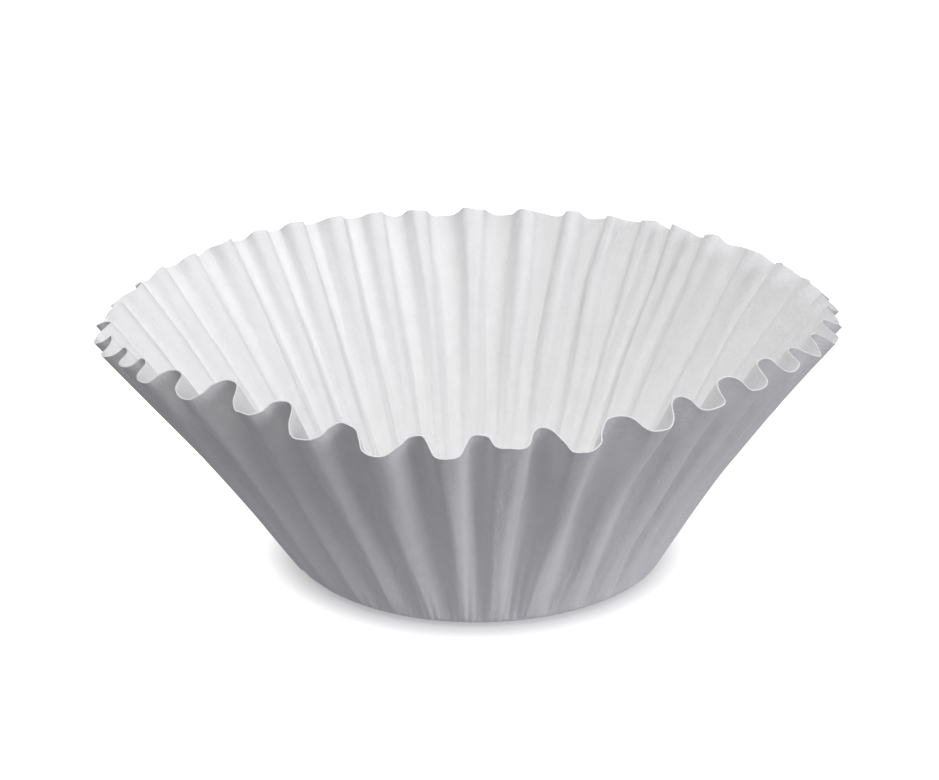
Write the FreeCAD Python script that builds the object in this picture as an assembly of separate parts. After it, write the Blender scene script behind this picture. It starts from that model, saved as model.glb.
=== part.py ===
import FreeCAD, Part
import math
import os

# A basket coffee filter: one round sheet of filter paper, pressed into a flat base and a wall that
# leans out. Paper bends but doesn't stretch, so the wall's spare paper goes into flutes. Each flank
# of a flute bends like a piece of a cone with its point at the wall's foot. Between two flanks lies
# a flat triangle, which is as wide as half a flute at the foot and runs out at the rim.
# The origin is the centre of the base's underside. Z is up, and the front is towards -Y.
# An angle round the wall is measured from the front, and grows towards +X.

# Sizes, in millimetres and degrees
CUT_DIAMETER = 210.0      # the flat sheet before it is pressed
BASE_DIAMETER = 71.5      # the flat of the base
HEEL_RADIUS = 6.0         # the soft bend between base and wall, at the middle of the paper
WALL_LEAN = 33.1          # of the wall from upright, on average
PAPER = 0.25              # thickness
FLUTES = 40
FIRST_FLUTE = -3.9        # place of the first outward fold, before the unevenness
LAND_FULLNESS = 0.78      # width of an outward fold's flat, as a share of half a flute
RIDGE_FULLNESS = 0.62     # the same for an inward fold

# A pressed sheet is never quite even. Each wave is its size in degrees, waves per turn and phase.
SPACING_WAVES = ((4.5, 1, 0), (2.3, 2, 0), (1.2, 5, 160), (0.8, 7, 230), (0.4, 13, 155))
LEAN_WAVES = ((1.3, 1, 180), (0.8, 2, 270), (1.6, 4, 90))

FACETS = 8                # flat facets in each flank's bend
HALVINGS = 40             # steps in the search for the depth of a flute

BASE_RADIUS = BASE_DIAMETER / 2
CUT_RADIUS = CUT_DIAMETER / 2
UP = FreeCAD.Vector(0, 0, 1)


def waves(table, angle):
    """The unevenness at an angle in radians, as the sum of a table's waves."""
    total = 0.0
    for size, count, phase in table:
        total += math.radians(size) * math.sin(count * angle + math.radians(phase))
    return total


def fold_angle(number):
    """Angle of a fold at the rim. Even numbers fold outward and odd ones inward. Halves lie between."""
    even_angle = math.radians(FIRST_FLUTE) + number * math.pi / FLUTES
    return even_angle + waves(SPACING_WAVES, even_angle)


def bend_points(poles):
    """Points along the smooth curve that four poles draw, from the first pole to the last."""
    points = []
    for step in range(FACETS + 1):
        t = step / FACETS
        weights = ((1 - t) ** 3, 3 * t * (1 - t) ** 2, 3 * t * t * (1 - t), t ** 3)
        points.append(sum((pole * weight for pole, weight in zip(poles, weights)), FreeCAD.Vector()))
    return points


def fold_length(span, depth):
    """Length of the paper from one fold to the next, across the span and the depth between them."""
    reaches = (0, LAND_FULLNESS * span, (1 - RIDGE_FULLNESS) * span, span)
    points = bend_points([FreeCAD.Vector(x, y, 0) for x, y in zip(reaches, (0, 0, depth, depth))])
    return sum(start.distanceToPoint(end) for start, end in zip(points, points[1:]))


def fold_depth(span, paper):
    """Depth at which the curve from fold to fold is as long as its paper, which doesn't stretch."""
    low = 0.0
    high = paper
    for _ in range(HALVINGS):
        middle = (low + high) / 2
        if fold_length(span, middle) < paper:
            low = middle
        else:
            high = middle
    return low


def arc_reach(turn, radius):
    """How far a smooth curve's two middle poles stand from its ends, where it draws an arc."""
    return 4 / 3 * math.tan(turn / 4) * radius


class Meridian:
    """The middle of the paper at one angle, before it is fluted: base, heel and straight wall."""

    def __init__(self, angle):
        self.outward = FreeCAD.Vector(math.sin(angle), -math.cos(angle), 0)
        self.sideways = FreeCAD.Vector(math.cos(angle), math.sin(angle), 0)
        lean = math.radians(WALL_LEAN) + waves(LEAN_WAVES, angle)
        self.bend = math.pi / 2 - lean
        self.up_wall = self.outward * math.sin(lean) + UP * math.cos(lean)
        self.normal = self.outward * math.cos(lean) - UP * math.sin(lean)
        self.edge = self.outward * BASE_RADIUS + UP * (PAPER / 2)
        self.foot = self.edge + UP * HEEL_RADIUS + self.normal * HEEL_RADIUS
        self.rim = self.foot + self.up_wall * (CUT_RADIUS - BASE_RADIUS - HEEL_RADIUS * self.bend)

    def heel(self, side):
        """Poles of the heel's bend on one face of the paper. Side is 1 outside and -1 inside."""
        reach = arc_reach(self.bend, HEEL_RADIUS + side * PAPER / 2)
        edge = self.edge - UP * (side * PAPER / 2)
        foot = self.foot + self.normal * (side * PAPER / 2)
        return [edge, edge + self.outward * reach, foot - self.up_wall * reach, foot]


class Fold:
    """One fold of the rim, outward (a land) or inward (a ridge)."""

    def __init__(self, number):
        self.angle = fold_angle(number)
        self.meridian = Meridian(self.angle)
        self.radius = math.hypot(self.meridian.rim.x, self.meridian.rim.y)
        self.turn = 1 if number % 2 == 0 else -1
        self.fullness = LAND_FULLNESS if self.turn == 1 else RIDGE_FULLNESS
        share = (fold_angle(number + 1) - fold_angle(number - 1)) / 2
        self.throw = self.turn * fold_depth(self.radius * share, CUT_RADIUS * share) / 2
        self.before = Meridian(fold_angle(number - 0.5))
        self.after = Meridian(fold_angle(number + 0.5))

    def point(self, side):
        return self.meridian.rim + self.meridian.normal * (self.throw + side * PAPER / 2)


def rim_points(first, second, side):
    """Points of the rim from one fold to the next, on one face of the paper."""
    span = (first.radius + second.radius) / 2 * (second.angle - first.angle)
    depth = abs(first.throw - second.throw)
    flank = math.atan2(depth, (1 - (first.fullness + second.fullness) / 2) * span)
    wrap = side * arc_reach(2 * flank, PAPER / 2)
    start = first.point(side)
    end = second.point(side)
    leave = start + first.meridian.sideways * (first.fullness * span + first.turn * wrap)
    arrive = end - second.meridian.sideways * (second.fullness * span + second.turn * wrap)
    return bend_points([start, leave, arrive, end])


def patch(rows):
    """A smooth face through the rows of poles."""
    surface = Part.BezierSurface()
    surface.increase(len(rows) - 1, len(rows[0]) - 1)
    for i, row in enumerate(rows, 1):
        for j, point in enumerate(row, 1):
            surface.setPole(i, j, point)
    return surface.toShape()


def polygon(points):
    return Part.Face(Part.makePolygon(points + points[:1]))


def filter_paper():
    """The whole sheet as one closed solid: base, heel, fluted wall and the cut edge at the rim."""
    folds = [Fold(number) for number in range(2 * FLUTES)]
    following = folds[1:] + [Fold(2 * FLUTES)]
    faces = []
    for side in (1, -1):
        faces.append(polygon([fold.after.heel(side)[0] for fold in folds]))
        for fold, next_fold in zip(folds, following):
            left = fold.before.heel(side)
            right = fold.after.heel(side)
            rim = rim_points(fold, next_fold, side)
            faces.append(patch([left, right]))
            faces.append(polygon([left[-1], right[-1], rim[0]]))
            faces += [polygon([right[-1], start, end]) for start, end in zip(rim, rim[1:])]
    for fold, next_fold in zip(folds, following):
        pairs = list(zip(rim_points(fold, next_fold, 1), rim_points(fold, next_fold, -1)))
        faces += [patch([start, end]) for start, end in zip(pairs, pairs[1:])]
    shell = Part.makeCompound(faces)
    shell.sewShape()
    return Part.Solid(shell.Shells[0])


os.makedirs("parts", exist_ok=True)
filter_paper().exportStep("parts/filter_paper.step")
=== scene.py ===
import bpy
import math

import numpy as np
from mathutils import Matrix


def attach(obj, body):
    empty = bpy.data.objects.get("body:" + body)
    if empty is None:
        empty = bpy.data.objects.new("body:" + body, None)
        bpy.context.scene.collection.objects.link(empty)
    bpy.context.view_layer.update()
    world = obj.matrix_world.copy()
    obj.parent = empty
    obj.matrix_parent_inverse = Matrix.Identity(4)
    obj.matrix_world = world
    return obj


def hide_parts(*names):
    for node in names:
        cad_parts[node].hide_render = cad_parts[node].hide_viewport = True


# A basket coffee filter: one round sheet of white filter paper, pressed into a flat base and a wall
# that leans out in flutes. It is built like the CAD, but with smooth bends, fine columns of mesh and
# the soft form and small unevenness of real paper. Lengths are in metres. Z is up and the front is
# towards -Y. An angle round the wall is measured from the front, and grows towards +X. A place on the
# paper runs from 0 at the base's edge to 1 at the wall's foot and 2 at the rim. A height on the wall
# is its place less 1.

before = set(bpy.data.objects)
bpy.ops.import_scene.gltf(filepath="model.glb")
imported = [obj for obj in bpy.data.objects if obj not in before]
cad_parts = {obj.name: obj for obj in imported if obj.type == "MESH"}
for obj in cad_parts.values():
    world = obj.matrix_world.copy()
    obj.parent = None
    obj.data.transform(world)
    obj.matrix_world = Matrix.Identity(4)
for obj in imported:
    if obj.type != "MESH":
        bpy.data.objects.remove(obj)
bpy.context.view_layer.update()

# Sizes of the sheet, as in the CAD. Angles in tables are in degrees.
MM = 0.001
CUT_RADIUS = 105.0 * MM
BASE_RADIUS = 35.75 * MM
HEEL_RADIUS = 6.0 * MM
PAPER = 0.25 * MM
WALL_LEAN = 33.1
FLUTES = 40
FIRST_FLUTE = -3.9
SPACING_WAVES = ((4.5, 1, 0), (2.3, 2, 0), (1.2, 5, 160), (0.8, 7, 230), (0.4, 13, 155))
LEAN_WAVES = ((1.3, 1, 180), (0.8, 2, 270), (1.6, 4, 90))
HALVINGS = 40             # steps in the search for the depth of a flute
UP = np.array((0.0, 0.0, 1.0))

# Fullness of a fold: how much of half a flute it takes, low on the wall and at the rim
LAND_FULLNESS = (0.50, 0.78)      # of an outward fold
RIDGE_FULLNESS = (0.36, 0.62)     # of an inward fold
FULLER_FROM = 0.45        # height at which the folds start to grow fuller

# Soft form of the wall. Each shift is an angle round it, and how much more it leans there.
LEAN_SHIFTS = ((-180, 0.0), (-80, 0.0), (-64, -0.8), (-56, 0.0), (-33, -2.0), (-23, 0.2), (-13, 0.9),
               (-3, 0.6), (5, -0.8), (14, 0.9), (30, 0.0), (57, -1.7), (100, 0.0), (180, 0.0))
SAG = 0.5 * MM            # of the wall inward, at the middle of its height
HEEL_PUSH = 0.5 * MM      # of the heel outward, near its top
RIGHT_ANGLE = 68          # where both are greater, and how far round that reaches
RIGHT_REACH = 34
RIGHT_SAG = 1.1 * MM      # added there
RIGHT_HEEL_PUSH = 0.9 * MM
PUSH_GROWS = (0.0, 0.7)   # places over which the heel's push grows, and then fades
PUSH_FADES = (0.8, 1.5)

# Rows and columns of the mesh
HALF_COLUMNS = 12         # columns in half a flute
HEEL_ROWS = 8
WALL_ROWS = 38
BASE_RINGS = (0.97, 0.92, 0.82, 0.64, 0.36)   # radii inside the base, as shares of its own
COLUMNS = 2 * FLUTES * HALF_COLUMNS
BEND_STEPS = 32           # steps along a flank's bend before it is sampled evenly
SHARP_ANGLE = 60          # from which an edge is shaded as a sharp one

# Small unevenness, added to the even sheet
SEED = 11
FOLD_VARIETY = 0.09       # of a fold's fullness
WANDER = 0.30             # degrees that a fold strays to the side
DENT = 0.28 * MM          # soft waves of the whole wall
WRINKLE = 0.065 * MM      # fine creases that run up the wall
FLUTTER = 0.20 * MM       # of the cut edge, up and down
DIMPLES = 60              # small knocks, each of which pushes the wall in or out
DIMPLE_WIDTHS = (1.2 * MM, 4.0 * MM)
DIMPLE_DEPTH = 0.24 * MM
DIMPLES_FROM = 1.05       # place
BASE_WAVE = 0.22 * MM     # of the base, upwards
BASE_WAVES = 9
BASE_WAVE_RATE = 140      # of the base's waves at the most, in radians per metre
BASE_WAVE_FADES = (0.75, 1.0)     # towards the base's edge, as shares of its radius
EDGE_BULGE = 0.04 * MM    # of the cut edge, over the paper's thickness

# Each ripple: fewest and most waves round the wall, most waves up it, and how many it is the sum of
WANDER_RIPPLE = (3, 18, 1.2, 28)
DENT_RIPPLE = (2, 14, 1.0, 28)
WRINKLE_RIPPLE = (70, 230, 0.9, 44)
FLUTTER_RIPPLE = (3, 110, 0.2, 28)

# Heights over which each grows
WANDER_GROWS = (0.0, 0.35)
DENT_GROWS = (-0.2, 0.6)
WRINKLE_GROWS = (-0.7, 0.1)
FLUTTER_GROWS = (0.75, 1.0)
WANDER_FADES = (0.7, 1.0)
WANDER_LOSS = 0.6         # share of the wander that is gone at the rim

# Paper. Colours are linear. A texture is its scale, detail and roughness, and scales are per
# millimetre of the flat sheet.
PAPER_COLOUR = (0.885, 0.885, 0.885)
DARKEST = 0.90            # of the paper's colour, where its fibres are thin
BRIGHTEST = 1.08
ROUGHNESS = 0.92
SPECULAR = 0.25
SHEEN = 0.06
SHEEN_ROUGHNESS = 0.6
CLOUDS = (0.22, 4, 0.6)
FIBRES = (1.6, 3, 0.7)
GRAIN = (3.4, 2, 0.6)
CREPE = (1.0, 3, 0.55)
CLOUD_SHADE = 0.55        # shares in the colour
FIBRE_SHADE = 0.45
CREPE_LINES = 46.0        # crepe per radian round the sheet's centre
CREPE_CLIMB = 0.16        # crepe per millimetre away from it
CREPE_GROWS = (BASE_RADIUS / MM - 4, BASE_RADIUS / MM + 8)    # in millimetres from the centre
GRAIN_RELIEF = 0.55       # shares in the relief
FIBRE_RELIEF = 0.9
CREPE_RELIEF = 1.1
RELIEF = 0.20 * MM        # height of the relief

# Light. A sun is its azimuth from the front towards +X, elevation, spread, strength and colour.
WHITE = (1.0, 1.0, 1.0)
COOL = (0.955, 0.94, 1.0)
SUNS = {
    "key": (-6, 64, 40, 1.90, WHITE),
    "side": (54, 12, 40, 1.22, COOL),
    "rear": (205, 28, 60, 0.75, WHITE),
}
SKY_LIGHT = 0.17

# Ground. It shows the camera a page, and it is duller to the light that it sends up under the wall.
# Pairs are a distance from the sheet's centre and a value there.
GROUND_REACH = 4.0
GROUND_LEVEL = -0.1 * MM
PAGE = 0.70               # how much of its light the page reflects
# The page's own glow is weaker near the sheet's base. This paints a darker contact shadow round the base,
# over the real shadow.
PAGE_GLOW_AND_PAINTED_SHADOW = ((0.037, 0.29), (0.052, 1.0))
DULL = ((0.05, 0.22), (0.22, 0.12))
DULL_GLOW = ((0.045, 0.22), (0.150, 0.10))

# Camera
LENS = 75.2
SENSOR = 36.0
CAMERA_PLACE = (-0.0002, -0.3968, 0.1878)
CAMERA_DIP = 20.85        # below the level
CAMERA_TURN = 0.16        # to the left


def waves(table, angle):
    """The unevenness at an angle in radians, as the sum of a table's waves."""
    total = np.zeros_like(angle)
    for size, count, phase in table:
        total = total + math.radians(size) * np.sin(count * angle + math.radians(phase))
    return total


def ramp(value, start, end):
    """Rises smoothly from 0 at start to 1 at end."""
    t = np.clip((value - start) / (end - start), 0, 1)
    return t * t * (3 - 2 * t)


def wrapped(degrees):
    """The same angle between -180 and 180."""
    return (degrees + 180) % 360 - 180


def between(table, degrees):
    """A value that goes smoothly from each of the table's angles to the next."""
    angles, values = np.array(table).T
    degrees = wrapped(degrees)
    after = np.clip(np.searchsorted(angles, degrees, side="right"), 1, len(angles) - 1)
    share = (degrees - angles[after - 1]) / (angles[after] - angles[after - 1])
    return values[after - 1] + (values[after] - values[after - 1]) * share ** 2 * (3 - 2 * share)


def fold_angle(number):
    """Angle of a fold at the rim. Even numbers fold outward and odd ones inward. Halves lie between."""
    even_angle = math.radians(FIRST_FLUTE) + np.asarray(number, dtype=float) * math.pi / FLUTES
    return even_angle + waves(SPACING_WAVES, even_angle)


def scaled(vectors, lengths):
    return vectors * np.asarray(lengths)[..., None]


def heel_turn(bend, place):
    """How far the paper has turned up at a place, where the heel turns it by the bend."""
    return bend * min(place, 1.0)


def wall_climb(bend, place):
    """How far up the straight wall a place lies."""
    return max(place - 1.0, 0.0) * (CUT_RADIUS - BASE_RADIUS - HEEL_RADIUS * bend)


def flat_radius(bend, place):
    """Distance of a place from the centre of the flat sheet."""
    return BASE_RADIUS + HEEL_RADIUS * heel_turn(bend, place) + wall_climb(bend, place)


class Meridians:
    """The middle of the paper at each angle, before it is fluted: base, heel and wall."""

    def __init__(self, angle):
        level = np.zeros_like(angle)
        self.outward = np.stack((np.sin(angle), -np.cos(angle), level), -1)
        self.sideways = np.stack((np.cos(angle), np.sin(angle), level), -1)
        lean = math.radians(WALL_LEAN) + waves(LEAN_WAVES, angle)
        lean = lean + np.radians(between(LEAN_SHIFTS, np.degrees(angle)))
        self.bend = math.pi / 2 - lean
        self.up_wall = scaled(self.outward, np.sin(lean)) + scaled(UP, np.cos(lean))
        self.normal = scaled(self.outward, np.cos(lean)) - scaled(UP, np.sin(lean))
        self.edge = self.outward * BASE_RADIUS + UP * PAPER / 2
        away = wrapped(np.degrees(angle) - RIGHT_ANGLE) / RIGHT_REACH
        self.right = np.exp(-away ** 2)

    def row(self, place):
        """Points and outward normals of the paper at a place."""
        turned = heel_turn(self.bend, place)
        climb = wall_climb(self.bend, place)
        points = self.edge + scaled(self.outward, HEEL_RADIUS * np.sin(turned))
        points = points + scaled(UP, HEEL_RADIUS * (1 - np.cos(turned))) + scaled(self.up_wall, climb)
        normals = scaled(self.outward, np.sin(turned)) - scaled(UP, np.cos(turned))
        sag = (SAG + RIGHT_SAG * self.right) * math.sin(math.pi * max(place - 1.0, 0.0))
        pushed = ramp(place, *PUSH_GROWS) * (1 - ramp(place, *PUSH_FADES))
        heel = (HEEL_PUSH + RIGHT_HEEL_PUSH * self.right) * pushed
        points = points - scaled(self.normal, sag) + scaled(self.outward, heel)
        return points, normals


def bend_points(poles):
    """Points along the smooth curve of four poles, on a new second axis."""
    t = np.linspace(0, 1, BEND_STEPS + 1)
    weights = ((1 - t) ** 3, 3 * t * (1 - t) ** 2, 3 * t * t * (1 - t), t ** 3)
    return sum(pole[:, None, :] * weight[None, :, None] for pole, weight in zip(poles, weights))


def fold_depths(span, paper, fullness):
    """Depths at which the curves from fold to fold are as long as their paper, which doesn't stretch."""
    low = np.zeros_like(span)
    high = paper.copy()
    level = np.zeros_like(span)
    for _ in range(HALVINGS):
        depth = (low + high) / 2
        reaches = (level, fullness[0] * span, (1 - fullness[1]) * span, span)
        points = bend_points([np.stack(pair, -1) for pair in zip(reaches, (level, level, depth, depth))])
        length = np.linalg.norm(np.diff(points, axis=1), axis=2).sum(axis=1)
        low = np.where(length < paper, depth, low)
        high = np.where(length < paper, high, depth)
    return low


def evenly_along(curves):
    """Evenly spaced points along each curve, from its start to one step before its end."""
    steps = np.linalg.norm(np.diff(curves, axis=1), axis=2)
    along = np.concatenate((np.zeros((len(steps), 1)), np.cumsum(steps, axis=1)), axis=1)
    points = np.empty((len(curves), HALF_COLUMNS, 3))
    for i, (curve, distances) in enumerate(zip(curves, along)):
        wanted = np.arange(HALF_COLUMNS) / HALF_COLUMNS * distances[-1]
        for axis in range(3):
            points[i, :, axis] = np.interp(wanted, distances, curve[:, axis])
    return points.reshape(-1, 3)


def fluted_row(place, variety):
    """Evenly spaced points round the fluted sheet, whose folds take up the paper to spare there."""
    numbers = np.arange(2 * FLUTES + 1)
    angles = fold_angle(numbers)
    folds = Meridians(angles)
    points, normals = folds.row(place)
    radius = np.hypot(points[:, 0], points[:, 1])
    fuller = ramp(place - 1.0, FULLER_FROM, 1.0)
    land, ridge = (low + (high - low) * fuller for low, high in (LAND_FULLNESS, RIDGE_FULLNESS))
    outward = numbers % 2 == 0
    fullness = np.where(outward, land, ridge) + variety
    partner = np.where(outward, ridge, land)
    share = (fold_angle(numbers + 1) - fold_angle(numbers - 1)) / 2
    depth = fold_depths(radius * share, flat_radius(folds.bend, place) * share, (fullness, partner))
    tips = points + scaled(normals, np.where(outward, depth, -depth) / 2)

    span = (radius[1:] + radius[:-1]) / 2 * np.diff(angles)
    leave = tips[:-1] + scaled(folds.sideways[:-1], fullness[:-1] * span)
    arrive = tips[1:] - scaled(folds.sideways[1:], fullness[1:] * span)
    return evenly_along(bend_points((tips[:-1], leave, arrive, tips[1:])))


def middle_of_sheet(angles, rng):
    """The middle of the paper as rows of points, with each row's place and radius on the flat sheet.
    The first row lies just inside the base's edge."""
    variety = rng.uniform(-FOLD_VARIETY, FOLD_VARIETY, 2 * FLUTES)
    variety = np.append(variety, variety[0])
    places = np.append(np.arange(HEEL_ROWS) / HEEL_ROWS, 1 + np.arange(WALL_ROWS + 1) / WALL_ROWS)
    even_bend = math.pi / 2 - math.radians(WALL_LEAN)
    rows = [Meridians(angles).outward * BASE_RADIUS * BASE_RINGS[0] + UP * PAPER / 2]
    rows += [fluted_row(place, variety) for place in places]
    flat_radii = [BASE_RADIUS * BASE_RINGS[0]]
    flat_radii += [flat_radius(even_bend, place) for place in places]
    return np.array(rows), np.append(-1 / HEEL_ROWS, places), np.array(flat_radii)


def normals_of(rows):
    """Outward normals of the rows of points, which close round."""
    along = np.roll(rows, -1, axis=1) - np.roll(rows, 1, axis=1)
    up = np.gradient(rows, axis=0)
    normals = np.cross(along, up)
    return normals / np.linalg.norm(normals, axis=2, keepdims=True)


def ripple(rng, kind):
    """A smooth random field over angle and height, of about unit size, with no seam round the wall."""
    fewest, most, waves_up, parts = kind
    counts = rng.integers(fewest, most + 1, parts)
    climbs = rng.uniform(-waves_up, waves_up, parts) * 2 * math.pi
    phases = rng.uniform(0, 2 * math.pi, parts)
    size = math.sqrt(2 / parts)

    def field(angle, height):
        return size * sum(np.cos(count * angle + climb * height + phase)
                          for count, climb, phase in zip(counts, climbs, phases))
    return field


def dimples(rows, places, rng):
    """How far a few small knocks push each point outward."""
    push = np.zeros(rows.shape[:2])
    on_wall = np.flatnonzero(places > DIMPLES_FROM)
    for _ in range(DIMPLES):
        centre = rows[rng.choice(on_wall), rng.integers(COLUMNS)]
        width = rng.uniform(*DIMPLE_WIDTHS)
        depth = rng.uniform(-DIMPLE_DEPTH, DIMPLE_DEPTH)
        push = push + depth * np.exp(-((rows - centre) ** 2).sum(axis=2) / width ** 2)
    return push


def uneven(rows, places, angles, rng):
    """The rows with the small unevenness of real paper."""
    height = (places - 1)[:, None]
    round_angle = angles[None, :]

    stray = math.radians(WANDER) * ripple(rng, WANDER_RIPPLE)(round_angle, height)
    stray = stray * ramp(height, *WANDER_GROWS) * (1 - WANDER_LOSS * ramp(height, *WANDER_FADES))
    turned = rows.copy()
    turned[..., 0] = rows[..., 0] * np.cos(stray) - rows[..., 1] * np.sin(stray)
    turned[..., 1] = rows[..., 0] * np.sin(stray) + rows[..., 1] * np.cos(stray)

    push = DENT * ripple(rng, DENT_RIPPLE)(round_angle, height) * ramp(height, *DENT_GROWS)
    creases = ripple(rng, WRINKLE_RIPPLE)(round_angle, height)
    push = push + WRINKLE * creases * ramp(height, *WRINKLE_GROWS)
    push = push + dimples(turned, places, rng)
    turned = turned + normals_of(turned) * push[..., None]

    flutter = FLUTTER * ripple(rng, FLUTTER_RIPPLE)(round_angle, height)
    flutter = flutter * ramp(height, *FLUTTER_GROWS)
    return turned + Meridians(angles).up_wall[None, :, :] * flutter[..., None]


def base_lift(points, base_waves):
    """How far the base stands above its resting plane at each point, from 0 at its edge."""
    total = sum(np.cos(points[:, 0] * x_rate + points[:, 1] * y_rate + phase)
                for x_rate, y_rate, phase in base_waves)
    share = 0.5 + 0.5 * total / len(base_waves)
    outward = np.hypot(points[:, 0], points[:, 1]) / BASE_RADIUS
    return BASE_WAVE * share * (1 - ramp(outward, *BASE_WAVE_FADES))


def base_rings(angles, base_waves):
    """Rings of points inside the base, each with half as many as the one outside it, and its middle."""
    rings = []
    count = COLUMNS
    for share in BASE_RINGS:
        count //= 2
        picked = angles[::COLUMNS // count]
        level = np.zeros(count)
        rings.append(np.stack((np.sin(picked), -np.cos(picked), level), -1) * BASE_RADIUS * share)
    rings.append(np.zeros((1, 3)))
    return [ring + scaled(UP, base_lift(ring, base_waves) + PAPER / 2) for ring in rings]


def join_rings(wide, narrow):
    """Faces between a ring of points and the ring inside it, which has half as many."""
    faces = []
    for i, near in enumerate(narrow):
        far = narrow[(i + 1) % len(narrow)]
        first, second, third = (wide[(2 * i + step) % len(wide)] for step in range(3))
        faces += [(first, near, second), (second, near, far), (second, far, third)]
    return faces


def band(low, high):
    """Faces between two rows of as many points, which close round."""
    return list(zip(low.tolist(), np.roll(low, -1).tolist(), np.roll(high, -1).tolist(), high.tolist()))


def side_faces(grid, rings, middle):
    """Faces of the sheet's outer side. The inner side has the same ones, turned over."""
    faces = []
    for low, high in zip(grid, grid[1:]):
        faces += band(low, high)
    for wide, narrow in zip([grid[0]] + rings, rings):
        faces += join_rings(wide.tolist(), narrow.tolist())
    last = rings[-1].tolist()
    faces += [(last[(i + 1) % len(last)], near, middle) for i, near in enumerate(last)]
    return faces


def sheet_faces(row_count, ring_sizes):
    """Faces of both sides and the cut edge. The points are one side's rows, rings and middle, then
    the other side's, then the row that runs along the middle of the cut edge."""
    grid = np.arange(row_count * COLUMNS).reshape(row_count, COLUMNS)
    rings = []
    total = grid.size
    for size in ring_sizes:
        rings.append(np.arange(total, total + size))
        total += size
    side_total = total + 1
    outside = side_faces(grid, rings, total)
    inside = [tuple(side_total + i for i in reversed(face)) for face in outside]
    outer_rim = grid[-1]
    inner_rim = outer_rim + side_total
    middle_rim = np.arange(COLUMNS) + 2 * side_total
    return outside + inside + band(outer_rim, middle_rim) + band(middle_rim, inner_rim)


def new_object(name, vertices, faces):
    mesh = bpy.data.meshes.new(name)
    mesh.from_pydata(vertices, [], faces)
    mesh.update()
    made = bpy.data.objects.new(name, mesh)
    bpy.context.scene.collection.objects.link(made)
    return made


def filter_sheet():
    """The whole sheet as one closed mesh with its flat coordinates: both sides and the cut edge."""
    rng = np.random.default_rng(SEED)
    angles = fold_angle(np.arange(COLUMNS) / HALF_COLUMNS)
    rows, places, flat_radii = middle_of_sheet(angles, rng)
    rows = uneven(rows, places, angles, rng)
    normals = normals_of(rows)[1:]
    rows = rows[1:]
    flat_radii = flat_radii[1:]
    normals[0] = -UP
    base_waves = np.column_stack((rng.uniform(-BASE_WAVE_RATE, BASE_WAVE_RATE, (BASE_WAVES, 2)),
                                  rng.uniform(0, 2 * math.pi, BASE_WAVES)))
    rings = base_rings(angles, base_waves)

    base = np.concatenate(rings)
    points = np.concatenate((rows.reshape(-1, 3), base))
    offsets = np.concatenate((normals.reshape(-1, 3), np.tile(-UP, (len(base), 1)))) * PAPER / 2
    flat_rows = np.stack((np.outer(flat_radii, np.sin(angles)), -np.outer(flat_radii, np.cos(angles))), -1)
    flat = np.concatenate((flat_rows.reshape(-1, 2), base[:, :2]))
    rim_up = rows[-1] - rows[-2]
    rim_up = rim_up / np.linalg.norm(rim_up, axis=1, keepdims=True)
    edge = rows[-1] + rim_up * EDGE_BULGE
    vertices = np.concatenate((points + offsets, points - offsets, edge))
    flat = np.concatenate((flat, flat, flat_rows[-1]))

    faces = sheet_faces(len(rows), [len(ring) for ring in rings[:-1]])
    piece = new_object("filter_sheet", vertices.tolist(), faces)
    mesh = piece.data
    mesh.polygons.foreach_set("use_smooth", np.ones(len(mesh.polygons), dtype=bool))
    mesh.set_sharp_from_angle(angle=math.radians(SHARP_ANGLE))
    layer = mesh.uv_layers.new(name="flat_sheet")
    corners = np.empty(len(mesh.loops), dtype=np.int32)
    mesh.loops.foreach_get("vertex_index", corners)
    layer.data.foreach_set("uv", (0.5 + flat[corners] / (2 * CUT_RADIUS)).ravel())
    return piece


def node(tree, kind, **values):
    made = tree.nodes.new(kind)
    for name, value in values.items():
        setattr(made, name, value)
    return made


def noise(tree, vector, texture):
    made = node(tree, "ShaderNodeTexNoise")
    for name, value in zip(("Scale", "Detail", "Roughness"), texture):
        made.inputs[name].default_value = value
    tree.links.new(vector, made.inputs["Vector"])
    return made.outputs["Fac"]


def scaled_vector(tree, vector, scale):
    made = node(tree, "ShaderNodeVectorMath", operation="SCALE")
    tree.links.new(vector, made.inputs[0])
    made.inputs["Scale"].default_value = scale
    return made.outputs["Vector"]


def vector_length(tree, vector):
    made = node(tree, "ShaderNodeVectorMath", operation="LENGTH")
    tree.links.new(vector, made.inputs[0])
    return made.outputs["Value"]


def scalar_math(tree, operation, first, second):
    made = node(tree, "ShaderNodeMath", operation=operation)
    for slot, value in enumerate((first, second)):
        if isinstance(value, (int, float)):
            made.inputs[slot].default_value = value
        else:
            tree.links.new(value, made.inputs[slot])
    return made.outputs[0]


def weighted_sum(tree, *terms):
    """The sum of values, each times its weight."""
    total = None
    for value, weight in terms:
        term = scalar_math(tree, "MULTIPLY", value, weight)
        total = term if total is None else scalar_math(tree, "ADD", total, term)
    return total


def smooth_step(tree, value, start_end, results=(0.0, 1.0)):
    """A value that goes smoothly from the first result to the second between start and end."""
    made = node(tree, "ShaderNodeMapRange", interpolation_type="SMOOTHSTEP")
    tree.links.new(value, made.inputs["Value"])
    limits = zip(("From Min", "From Max", "To Min", "To Max"), (*start_end, *results))
    for name, limit in limits:
        made.inputs[name].default_value = limit
    return made.outputs["Result"]


def blended(tree, factor, first, second):
    """A colour between the first and the second."""
    made = node(tree, "ShaderNodeMix", data_type="RGBA")
    tree.links.new(factor, made.inputs["Factor"])
    made.inputs["A"].default_value = first
    made.inputs["B"].default_value = second
    return made.outputs["Result"]


def tinted(strength, tint):
    return tuple(strength * part for part in tint) + (1.0,)


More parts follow.
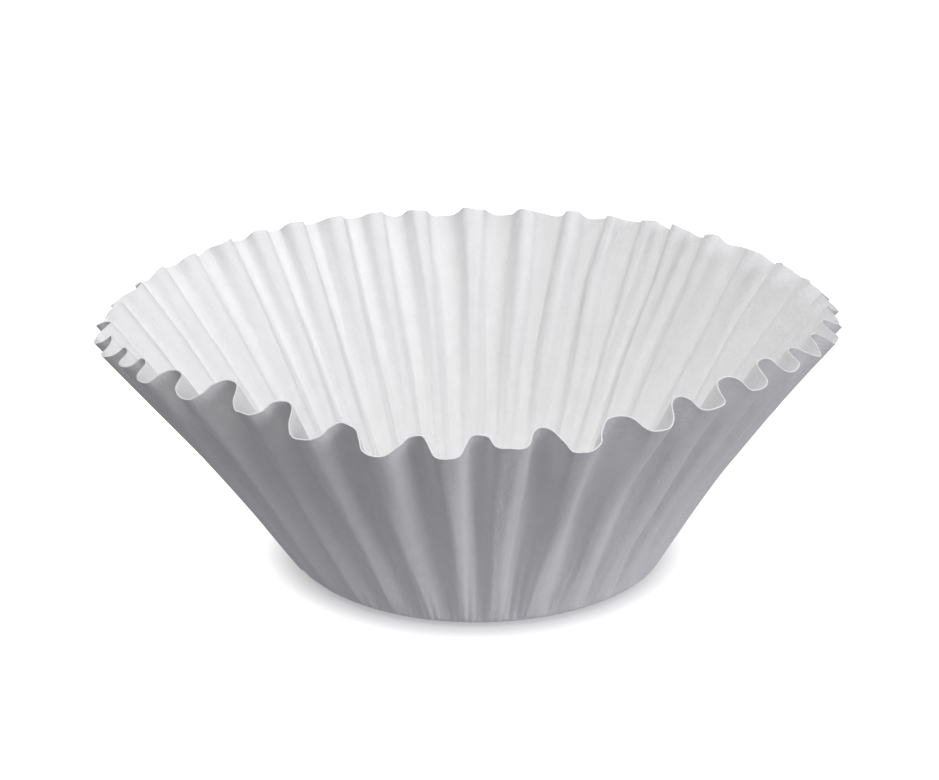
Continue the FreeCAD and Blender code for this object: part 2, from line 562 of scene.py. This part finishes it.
def crepe_lines(tree, sheet, reach):
    """Lines that run up the wall, as noise over the direction from the sheet's centre."""
    direction = node(tree, "ShaderNodeVectorMath", operation="NORMALIZE")
    tree.links.new(sheet, direction.inputs[0])
    climb = node(tree, "ShaderNodeCombineXYZ")
    tree.links.new(scalar_math(tree, "MULTIPLY", reach, CREPE_CLIMB), climb.inputs["Z"])
    place = node(tree, "ShaderNodeVectorMath", operation="ADD")
    tree.links.new(scaled_vector(tree, direction.outputs["Vector"], CREPE_LINES), place.inputs[0])
    tree.links.new(climb.outputs["Vector"], place.inputs[1])
    lines = noise(tree, place.outputs["Vector"], CREPE)
    return scalar_math(tree, "MULTIPLY", lines, smooth_step(tree, reach, CREPE_GROWS))


def paper_material():
    """White filter paper: cloudy fibres, a fine crepe that runs up the wall, and no shine."""
    material = bpy.data.materials.new("filter_paper")
    material.use_nodes = True
    tree = material.node_tree
    shader = tree.nodes["Principled BSDF"]
    shader.inputs["Roughness"].default_value = ROUGHNESS
    shader.inputs["Specular IOR Level"].default_value = SPECULAR
    shader.inputs["Sheen Weight"].default_value = SHEEN
    shader.inputs["Sheen Roughness"].default_value = SHEEN_ROUGHNESS

    # Coordinates on the flat sheet, from its centre
    uv = node(tree, "ShaderNodeUVMap", uv_map="flat_sheet").outputs["UV"]
    centred = node(tree, "ShaderNodeVectorMath", operation="SUBTRACT")
    tree.links.new(uv, centred.inputs[0])
    centred.inputs[1].default_value = (0.5, 0.5, 0.0)
    sheet = centred.outputs["Vector"]
    millimetres = scaled_vector(tree, sheet, 2 * CUT_RADIUS / MM)

    # The clouds of thicker and thinner fibre seen in any soft paper
    clouds = noise(tree, millimetres, CLOUDS)
    fibres = noise(tree, millimetres, FIBRES)
    shade = weighted_sum(tree, (clouds, CLOUD_SHADE), (fibres, FIBRE_SHADE))
    colour = blended(tree, shade, tinted(DARKEST, PAPER_COLOUR), tinted(BRIGHTEST, PAPER_COLOUR))
    tree.links.new(colour, shader.inputs["Base Color"])

    grain = noise(tree, millimetres, GRAIN)
    crepe = crepe_lines(tree, sheet, vector_length(tree, millimetres))
    relief = weighted_sum(tree, (grain, GRAIN_RELIEF), (fibres, FIBRE_RELIEF), (crepe, CREPE_RELIEF))
    bump = node(tree, "ShaderNodeBump")
    bump.inputs["Strength"].default_value = 1.0
    bump.inputs["Distance"].default_value = RELIEF
    tree.links.new(relief, bump.inputs["Height"])
    tree.links.new(bump.outputs["Normal"], shader.inputs["Normal"])
    return material


def glowing(tree, surface, distance, steps, tint):
    """The surface with a light of its own, which goes smoothly from one strength to another."""
    (start, first), (end, last) = steps
    glow = node(tree, "ShaderNodeEmission")
    glow.inputs["Color"].default_value = tinted(1.0, tint)
    tree.links.new(smooth_step(tree, distance, (start, end), (first, last)), glow.inputs["Strength"])
    both = node(tree, "ShaderNodeAddShader")
    tree.links.new(surface.outputs[0], both.inputs[0])
    tree.links.new(glow.outputs[0], both.inputs[1])
    return both


def seen_or_not(tree, unseen, seen, output_kind):
    """Ends the tree with one surface for the camera and another for all other light."""
    path = node(tree, "ShaderNodeLightPath")
    mix = node(tree, "ShaderNodeMixShader")
    tree.links.new(path.outputs["Is Camera Ray"], mix.inputs["Fac"])
    tree.links.new(unseen.outputs[0], mix.inputs[1])
    tree.links.new(seen.outputs[0], mix.inputs[2])
    output = node(tree, output_kind)
    tree.links.new(mix.outputs[0], output.inputs["Surface"])


def floor():
    """A white ground that reaches past the picture. It shows the camera a white page that keeps the
    object's shadow, with painted shade near the base: the page's own glow is weaker there, which darkens a
    ring round the base. It reflects less light than that up at the outside of the wall."""
    material = bpy.data.materials.new("floor")
    material.use_nodes = True
    tree = material.node_tree
    tree.nodes.clear()
    distance = vector_length(tree, node(tree, "ShaderNodeTexCoord").outputs["Object"])
    page = node(tree, "ShaderNodeBsdfDiffuse")
    page.inputs["Color"].default_value = tinted(PAGE, WHITE)
    # Painted contact shadow: the page's glow fades near the base, so the ground there is darker than its
    # light alone would make it
    page = glowing(tree, page, distance, PAGE_GLOW_AND_PAINTED_SHADOW, WHITE)
    (start, near), (end, far) = DULL
    dull = node(tree, "ShaderNodeBsdfDiffuse")
    fade = smooth_step(tree, distance, (start, end))
    tree.links.new(blended(tree, fade, tinted(near, COOL), tinted(far, COOL)), dull.inputs["Color"])
    dull = glowing(tree, dull, distance, DULL_GLOW, COOL)
    seen_or_not(tree, dull, page, "ShaderNodeOutputMaterial")

    sides = ((-1, -1), (1, -1), (1, 1), (-1, 1))
    corners = [(x * GROUND_REACH, y * GROUND_REACH, GROUND_LEVEL) for x, y in sides]
    ground = new_object("floor", corners, [(0, 1, 2, 3)])
    ground.data.materials.append(material)


def sky():
    """White where the camera sees it, and a soft even light elsewhere."""
    world = bpy.data.worlds.new("sky")
    bpy.context.scene.world = world
    world.use_nodes = True
    tree = world.node_tree
    tree.nodes.clear()
    soft = node(tree, "ShaderNodeBackground")
    soft.inputs["Color"].default_value = tinted(1.0, COOL)
    soft.inputs["Strength"].default_value = SKY_LIGHT
    white = node(tree, "ShaderNodeBackground")
    white.inputs["Color"].default_value = tinted(1.0, WHITE)
    seen_or_not(tree, soft, white, "ShaderNodeOutputWorld")


def sun(name, azimuth, elevation, spread, strength, colour):
    """A wide soft light from afar."""
    lamp = bpy.data.lights.new(name, "SUN")
    lamp.energy = strength
    lamp.color = colour
    lamp.angle = math.radians(spread)
    placed = bpy.data.objects.new(name, lamp)
    placed.rotation_euler = (math.radians(90 - elevation), 0, math.radians(azimuth))
    bpy.context.scene.collection.objects.link(placed)


def camera():
    data = bpy.data.cameras.new("camera")
    data.lens = LENS
    data.sensor_width = SENSOR
    placed = bpy.data.objects.new("camera", data)
    placed.location = CAMERA_PLACE
    placed.rotation_euler = (math.radians(90 - CAMERA_DIP), 0, math.radians(CAMERA_TURN))
    bpy.context.scene.collection.objects.link(placed)
    bpy.context.scene.camera = placed


piece = filter_sheet()
piece.data.materials.append(paper_material())
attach(piece, "root")
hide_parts("filter_paper")

floor()
sky()
for name, settings in SUNS.items():
    sun(name, *settings)
camera()
bpy.context.scene.view_settings.view_transform = "Standard"
